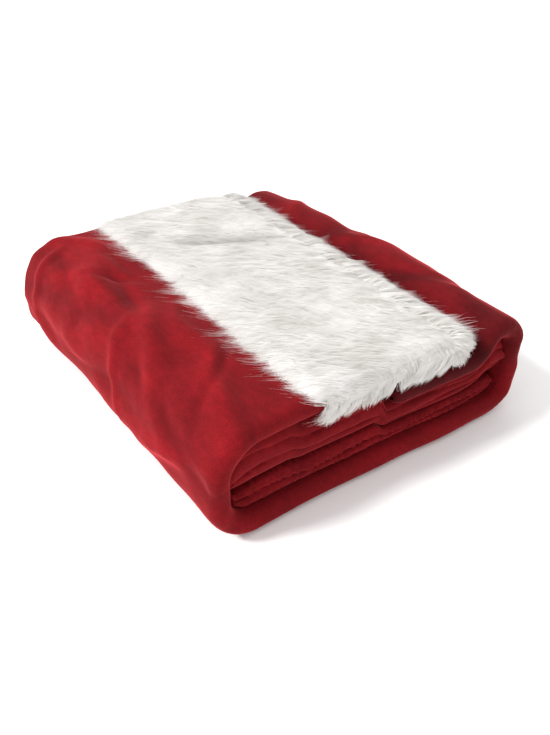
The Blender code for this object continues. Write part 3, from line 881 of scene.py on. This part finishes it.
def end_inset(x, depth, low, high, layers, groove):
    """How far in an end lies where folded layers show as round edges, and its heights from low to high."""
    share = np.linspace(0.0, 1.0, LAYER_POINTS * layers + 1)[1:-1][None, :]
    arch = np.sin(pi * share)
    wander = LAYER_WANDER._replace(size=LAYER_WANDER.size * arch, start=LAYER_WANDER.start * share)
    place = (share + wave(x, wander)) * layers
    whole = 1.0 - np.sqrt(1.0 - (2 * share - 1.0) ** 2)
    each = 1.0 - np.sqrt(np.clip(1.0 - (2 * (place % 1.0) - 1.0) ** 2, 0.0, 1.0))
    uneven = wave(x, LAYER_UNEVEN._replace(start=LAYER_UNEVEN.start * np.floor(place))) * arch
    inset = depth * whole + groove * each * arch + LAYER_UNEVEN.size + uneven
    return inset, low + (high - low) * share


def stretches(x, parts):
    """Rings across X whose Y and Z come in stretches, one after another."""
    return np.concatenate([np.stack(np.broadcast_arrays(x, y, z), axis=-1) for y, z in parts], axis=1)


def tube(rings, thickness):
    """The inside of rings in Y and Z, so far in from them."""
    run = np.roll(rings, -1, axis=1) - np.roll(rings, 1, axis=1)
    inward = np.stack([np.zeros(run.shape[:2]), -run[..., 2], run[..., 1]], axis=-1)
    inward /= np.maximum(np.linalg.norm(inward, axis=-1, keepdims=True), 1e-9)
    return rings + inward * thickness


def add_trousers(space):
    """Both legs folded in three: a fold over a free end at the front, and under one at the back."""
    x = space[0][:, None]
    waist_tip = WAISTBAND - TROUSER_END
    ankle_tip = ANKLE_END - ANKLE_TRIM
    level_end = TROUSER_END - TROUSER_ROUND
    low, waist = layer(space, x, 0.0, WAIST_LAYER)
    ankle, high = layer(space, x, ANKLE_LAYER, 1.0)
    fold_inset, fold_z = end_inset(x, TROUSER_ROUND, low, ankle, TROUSER_LAYERS, LAYER_GROOVE)
    over_inset, over_z = end_inset(x, TROUSER_ROUND, waist, high, TROUSER_LAYERS, LAYER_GROOVE)
    parts = [
        (np.linspace(waist_tip + TROUSER_ROUND, level_end, LEVEL_POINTS)[None, :], low),
        (TROUSER_END - fold_inset, fold_z),
        (np.array([[level_end, ankle_tip]]), ankle - GAP),
        (np.linspace(ankle_tip - TROUSER_ROUND, -level_end, LEVEL_POINTS)[None, :], high),
        ((over_inset - TROUSER_END)[:, ::-1], over_z[:, ::-1]),
        (np.array([[-level_end, waist_tip]]), waist + GAP),
    ]
    rings = stretches(x, parts)
    return add_wall("trouser_velvet", settled(rings), settled(tube(rings, TROUSER_CLOTH)), looped=True)


def add_waistband(space):
    """An elastic band at the lowest layer's free end: two gathered edges with the waist's opening between."""
    x = np.linspace(-WAIST_HALF, WAIST_HALF, BAND_POINTS)[:, None]
    low, high = layer(space, x, 0.0, WAIST_LAYER)
    squeeze = np.sqrt(1.0 - TRIM_SQUEEZE * (x / WAIST_HALF) ** 6)
    high = low + (high - low - GAP) * squeeze
    gathers = np.sin(2 * pi * (x / GATHER + sum(wave(x, row) for row in GATHER_DRIFTS)))
    inset, edge_z = end_inset(x, WAISTBAND_ROUND, low, high, BAND_LAYERS, BAND_GROOVE)
    share = np.sin(pi * np.linspace(0.0, 1.0, edge_z.shape[1]))[None, :]
    rolled = GATHER_DEPTH * share * (1.0 + gathers * np.cos(GATHER_ROLL * share))
    edge_y = inset - TROUSER_END + WAISTBAND_ROUND * (1 - squeeze) + rolled
    back_end = BAND_BACK_END + WAISTBAND_ROUND - TROUSER_END
    back = np.linspace(WAISTBAND - TROUSER_END - GAP, back_end, BAND_BACK_POINTS)[None, :]
    rib = GATHER_RIB * gathers
    parts = [
        (back, low + BAND_INSET + rib),
        (edge_y, edge_z),
        (back[:, ::-1], high - BAND_INSET + rib),
    ]
    rings = stretches(x, parts)
    return add_wall("waistband_velvet", settled(rings), settled(tube(rings, -TROUSER_CLOTH)))


def ankle_surface(space, name):
    """A function that gives points of an ankle trim at x and v, at a depth under the outline of its pile."""
    start, end = ANKLE_SPANS[name]

    def surface(x, v, depth):
        low, high = layer(space, np.maximum(x, NECK_EDGE) if start > 0 else x, ANKLE_LAYER, 1.0)
        aside = np.clip(2 * (x - start) / (end - start) - 1, -ANKLE_PAST, ANKLE_PAST)
        squeeze = np.sqrt(np.clip(1.0 - TRIM_SQUEEZE * aside**6, ANKLE_LEAST, 1.0))
        half = (high - low) / 2 * squeeze
        middle = low + half
        shoulder = ANKLE_END - TROUSER_ROUND * (2 - squeeze)
        angle = np.clip(v / ANKLE_ROUND, 0.0, pi)
        y = shoulder + np.minimum(v, 0.0) - np.clip(v - pi * ANKLE_ROUND, 0.0, None)
        y = y + (TROUSER_ROUND - depth) * np.sin(angle)
        z = middle + (half - depth) * np.cos(angle)
        return settled(np.stack(np.broadcast_arrays(x, y, z), axis=-1))

    return surface


def ankle_lay(start, end):
    """Hair that runs out over the end, and splays at both sides."""

    def lay(u, v, draw):
        aside = 2 * (u - start) / (end - start) - 1
        return ANKLE_LAY - ANKLE_SPLAY * aside**5 + ripple(u, v, ANKLE_SWAY) + ANKLE_SPREAD * (draw - 0.5)

    return lay


def add_ankle(space, name):
    """The plush end of one leg: its cloth, and the hair where it shows."""
    start, end = ANKLE_SPANS[name]
    surface = ankle_surface(space, name)
    around = pi * ANKLE_ROUND
    back = ANKLE_TRIM - 2 * TROUSER_ROUND
    over = evenly(-back, 0.0, ANKLE_STEP)
    under = evenly(around, around + back, ANKLE_STEP)[1:]
    v = np.concatenate([over, evenly(0.0, around, ANKLE_ROUND_STEP)[1:], under])
    x, v = np.meshgrid(evenly(start + ANKLE_INSET, end - ANKLE_INSET, ANKLE_ACROSS_STEP), v, indexing="ij")
    faces = [surface(x, v, depth) for depth in (ANKLE_CLOTH_DEPTH, ANKLE_BACKING_DEPTH)]
    cloth = add_wall(f"ankle_cloth_{name}", *faces)
    span = ((start, end), (ANKLE_HAIR_START, ANKLE_HANG))
    hang = hanging(surface, ANKLE_HANG)
    lay = ankle_lay(start, end)
    hair = add_locks(f"ankle_plush_{name}", hang, span, lay, ANKLE_HAIR, ANKLE_SEEDS[name])
    return cloth, hair


def colour(code):
    """Linear colour from an sRGB hex code."""
    parts = [int(code[k : k + 2], 16) / 255 for k in (0, 2, 4)]
    return (*(p / 12.92 if p <= 0.04045 else ((p + 0.055) / 1.055) ** 2.4 for p in parts), 1.0)


def add_node(tree, kind, settings=(), links=()):
    """One node with its settings, by attribute or input, and links from other nodes' outputs."""
    node = tree.nodes.new(kind)
    for key, value in dict(settings).items():
        if isinstance(key, int) or key in node.inputs:
            node.inputs[key].default_value = value
        else:
            setattr(node, key, value)
    for key, output in dict(links).items():
        tree.links.new(output, node.inputs[key])
    return node


def new_material(name):
    made = bpy.data.materials.new(name)
    made.use_nodes = True
    made.node_tree.nodes.clear()
    return made, made.node_tree


def noise(tree, size, detail=2.0, stretch=(1.0, 1.0, 1.0), turn=0.0):
    """Noise whose blotches are so many metres across, stretched along a direction."""
    place = add_node(tree, "ShaderNodeTexCoord").outputs["Object"]
    scale = [1 / (size * part) for part in stretch]
    settings = {"Scale": scale, "Rotation": (0.0, 0.0, math.radians(turn))}
    placed = add_node(tree, "ShaderNodeMapping", settings, {"Vector": place}).outputs["Vector"]
    made = add_node(tree, "ShaderNodeTexNoise", {"Scale": 1.0, "Detail": detail}, {"Vector": placed})
    return made.outputs["Fac"]


def blotches(tree, size, codes, stops=(0.25, 0.75), **shape):
    """Two colours in blotches of noise so many metres across."""
    node = add_node(tree, "ShaderNodeValToRGB", links={"Fac": noise(tree, size, **shape)})
    for element, stop, code in zip(node.color_ramp.elements, stops, codes):
        element.position, element.color = stop, colour(code)
    return node.outputs["Color"]


def velvet_finish():
    """Short dense velvet pile with a soft sheen: brushed in patches, and mixed by painted shade with a darker
    copy.
    """
    made, tree = new_material("red_velvet")
    shape = {"stops": (0.28, 0.75), "detail": 4.0}
    brushed = blotches(tree, BRUSHED_PATCH, ("821219", "9C1820"), stretch=(1.0, 1.8, 1.0), turn=14, **shape)
    # A darker copy of the velvet, mixed in as painted shade
    painted_dark = blotches(tree, SHADED_PATCH, ("400A0E", "580F13"), stretch=(1.0, 2.4, 1.0), turn=-8, **shape)
    # The share of painted shade and light kept on each point of the mesh
    painted_shade = add_node(tree, "ShaderNodeAttribute", {"attribute_name": "painted_shade"}).outputs["Fac"]
    cloth = add_node(tree, "ShaderNodeMix", MIXED, {0: painted_shade, 6: brushed, 7: painted_dark}).outputs[2]
    marks = blotches(tree, NAP_MARK, ("E0E0E0", "FFFFFF"), detail=3.0, stretch=(1.0, 2.2, 1.0), turn=NAP_TURN)
    cloth = add_node(tree, "ShaderNodeMix", MULTIPLIED, {6: cloth, 7: marks}).outputs[2]
    grain = blotches(tree, PILE_GRAIN, ("D0D0D0", "FFFFFF"))
    cloth = add_node(tree, "ShaderNodeMix", MULTIPLIED, {6: cloth, 7: grain}).outputs[2]
    settings = {"Strength": 0.5, "Distance": 0.0005}
    fine = add_node(tree, "ShaderNodeBump", settings, {"Height": noise(tree, PILE_BUMP)}).outputs[0]
    dents = noise(tree, NAP_DENT, 3.0, (1.0, 1.8, 1.0), NAP_TURN)
    settings = {"Strength": 0.45, "Distance": 0.0012}
    rough = add_node(tree, "ShaderNodeBump", settings, {"Height": dents, "Normal": fine}).outputs[0]
    settings = {
        "Roughness": 0.9,
        "Specular IOR Level": 0.1,
        "Sheen Weight": 0.62,
        "Sheen Roughness": 0.32,
        "Sheen Tint": colour("FF5A60"),
    }
    links = {"Base Color": cloth, "Normal": rough}
    shader = add_node(tree, "ShaderNodeBsdfPrincipled", settings, links).outputs[0]
    add_node(tree, "ShaderNodeOutputMaterial", links={"Surface": shader})
    return made


def plush_finish():
    """Long soft white hair: some light passes through it, it is greyer in patches, and painted shade greys
    its hollow.
    """
    made, tree = new_material("white_plush")
    patches = blotches(tree, PLUSH_PATCH, ("EFEDEA", "FFFEFD"))
    shape = {"stretch": (6.0, 1.0, 1.0), "turn": -HAIR_LAY}
    streaks = blotches(tree, PLUSH_STRAND, ("F4F3F2", "FFFFFF"), (0.25, 0.70), **shape)
    hair = add_node(tree, "ShaderNodeMix", MULTIPLIED, {6: patches, 7: streaks}).outputs[2]
    # Painted shade in the long hollow, kept on the hair's points
    hollow_painted_shade = add_node(tree, "ShaderNodeAttribute", {"attribute_name": "hollow_painted_shade"}).outputs["Fac"]
    # The grey of that painted shade
    shaded = MIXED | {7: colour("DEDBD8")}
    hair = add_node(tree, "ShaderNodeMix", shaded, {0: hollow_painted_shade, 6: hair}).outputs[2]
    settings = {"Roughness": 0.9, "Specular IOR Level": 0.1}
    body = add_node(tree, "ShaderNodeBsdfPrincipled", settings, {"Base Color": hair}).outputs[0]
    through = add_node(tree, "ShaderNodeBsdfTranslucent", links={"Color": hair}).outputs[0]
    both = add_node(tree, "ShaderNodeMixShader", {0: PLUSH_THROUGH}, {1: body, 2: through}).outputs[0]
    add_node(tree, "ShaderNodeOutputMaterial", links={"Surface": both})
    return made


def paper_finish():
    """Matt pale paper under the suit, which gives the eye nothing but a soft shadow."""
    made, tree = new_material("pale_paper")
    settings = {"Base Color": colour("FBFBFA"), "Roughness": 0.95}
    shader = add_node(tree, "ShaderNodeBsdfPrincipled", settings).outputs[0]
    add_node(tree, "ShaderNodeOutputMaterial", links={"Surface": shader})
    return made


def keep_value(piece, name, value):
    """A value for each point of a piece, for its material to read."""
    kept = piece.data.attributes.new(name, "FLOAT", "POINT")
    kept.data.foreach_set("value", np.broadcast_to(value, len(piece.data.vertices)).astype(np.float32))


def add_hollow_shade(piece):
    """How little light gets in between the hair: least in the long hollow, a little more on its far slope."""
    points = np.empty(3 * len(piece.data.vertices))
    piece.data.vertices.foreach_get("co", points)
    x, y = points.reshape(-1, 3).T[:2]
    share, off = crease_places(x, y, HEM_HOLLOWS[0])
    falloff = np.where(off > 0.0, HOLLOW_SHADE_FAR, HOLLOW_SHADE_NEAR)
    keep_value(piece, "hollow_painted_shade", np.clip(1.0 - share**2, 0.0, 1.0) * np.exp(-((off / falloff) ** 2)))


def add_stage():
    """A plain pale floor and soft studio light."""
    signs = ((-1, -1), (1, -1), (1, 1), (-1, 1))
    corners = np.array([(FLOOR_SIZE * across, FLOOR_SIZE * along, -GAP) for across, along in signs])
    floor = add_mesh("floor", corners, [(0, 1, 2, 3)])
    floor.data.materials.append(paper_finish())
    world = bpy.data.worlds.new("studio")
    world.use_nodes = True
    background = world.node_tree.nodes["Background"]
    background.inputs["Color"].default_value = (1.0, 1.0, 1.0, 1.0)
    background.inputs["Strength"].default_value = 1.0
    bpy.context.scene.world = world
    light = bpy.data.lights.new("key", "SUN")
    light.energy, light.angle = KEY_STRENGTH, math.radians(KEY_WIDTH)
    add_object("key", light).rotation_euler = [math.radians(part) for part in KEY_TURN]


def add_camera():
    lens = bpy.data.cameras.new("camera")
    lens.lens, lens.sensor_width = LENS, FILM_WIDTH
    camera = add_object("camera", lens)
    rows = zip(CAMERA_RIGHT, CAMERA_UP, CAMERA_BACK, CAMERA_PLACE)
    camera.matrix_world = Matrix([*rows, (0.0, 0.0, 0.0, 1.0)])
    bpy.context.scene.camera = camera


def place(piece, material, nodes, slot):
    """Gives a piece its finish, hangs it on the root body, and hides the solids it stands for."""
    piece.data.materials.append(material)
    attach(piece, "root")
    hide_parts(*nodes)


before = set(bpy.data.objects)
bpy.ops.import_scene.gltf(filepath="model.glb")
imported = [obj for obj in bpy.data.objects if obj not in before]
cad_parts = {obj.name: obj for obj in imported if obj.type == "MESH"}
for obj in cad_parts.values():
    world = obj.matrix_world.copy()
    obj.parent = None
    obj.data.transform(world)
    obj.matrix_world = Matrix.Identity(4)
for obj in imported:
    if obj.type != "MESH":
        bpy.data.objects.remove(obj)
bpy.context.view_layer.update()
velvet, plush = velvet_finish(), plush_finish()
space = trouser_space()

back, fronts = add_jacket()
inner = add_inner_layers()
trousers = add_trousers(space)
waistband = add_waistband(space)
hem = add_hem()
hem_locks = add_hem_plush() + [add_loose_plush(), add_free_edge_plush()]
ankles = {name: add_ankle(space, name) for name in ANKLE_SPANS}

place(back, velvet, ["jacket_back"], "velvet")
place(fronts[0], velvet, ["jacket_left_front"], "velvet")
place(fronts[1], velvet, ["jacket_right_front"], "velvet")
place(inner, velvet, ["jacket_inner_layers"], "velvet")
place(trousers, velvet, ["trouser_legs"], "velvet")
place(waistband, velvet, ["waistband"], "velvet")
# The other velvet pieces take the painted shade's base share alone
for piece in (*fronts, inner, trousers, waistband):
    keep_value(piece, "painted_shade", SHADE_BASE)
for piece in (hem, *hem_locks):
    add_hollow_shade(piece)
    place(piece, plush, ["hem_trim"], "plush")
for name, pieces in ankles.items():
    for piece in pieces:
        place(piece, plush, [f"ankle_trim_{name}"], "plush")

on_jacket, on_trousers = ["jacket_velvet"], ["trouser_velvet"]
for front in fronts:
    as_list(on_jacket)
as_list(on_jacket)
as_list(on_trousers)
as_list(on_jacket)
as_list(on_jacket)
for name, (cloth, hair) in ankles.items():
    start, end = ANKLE_SPANS[name]
    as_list(on_trousers)

add_stage()
add_camera()
bpy.context.scene.view_settings.view_transform = "Standard"
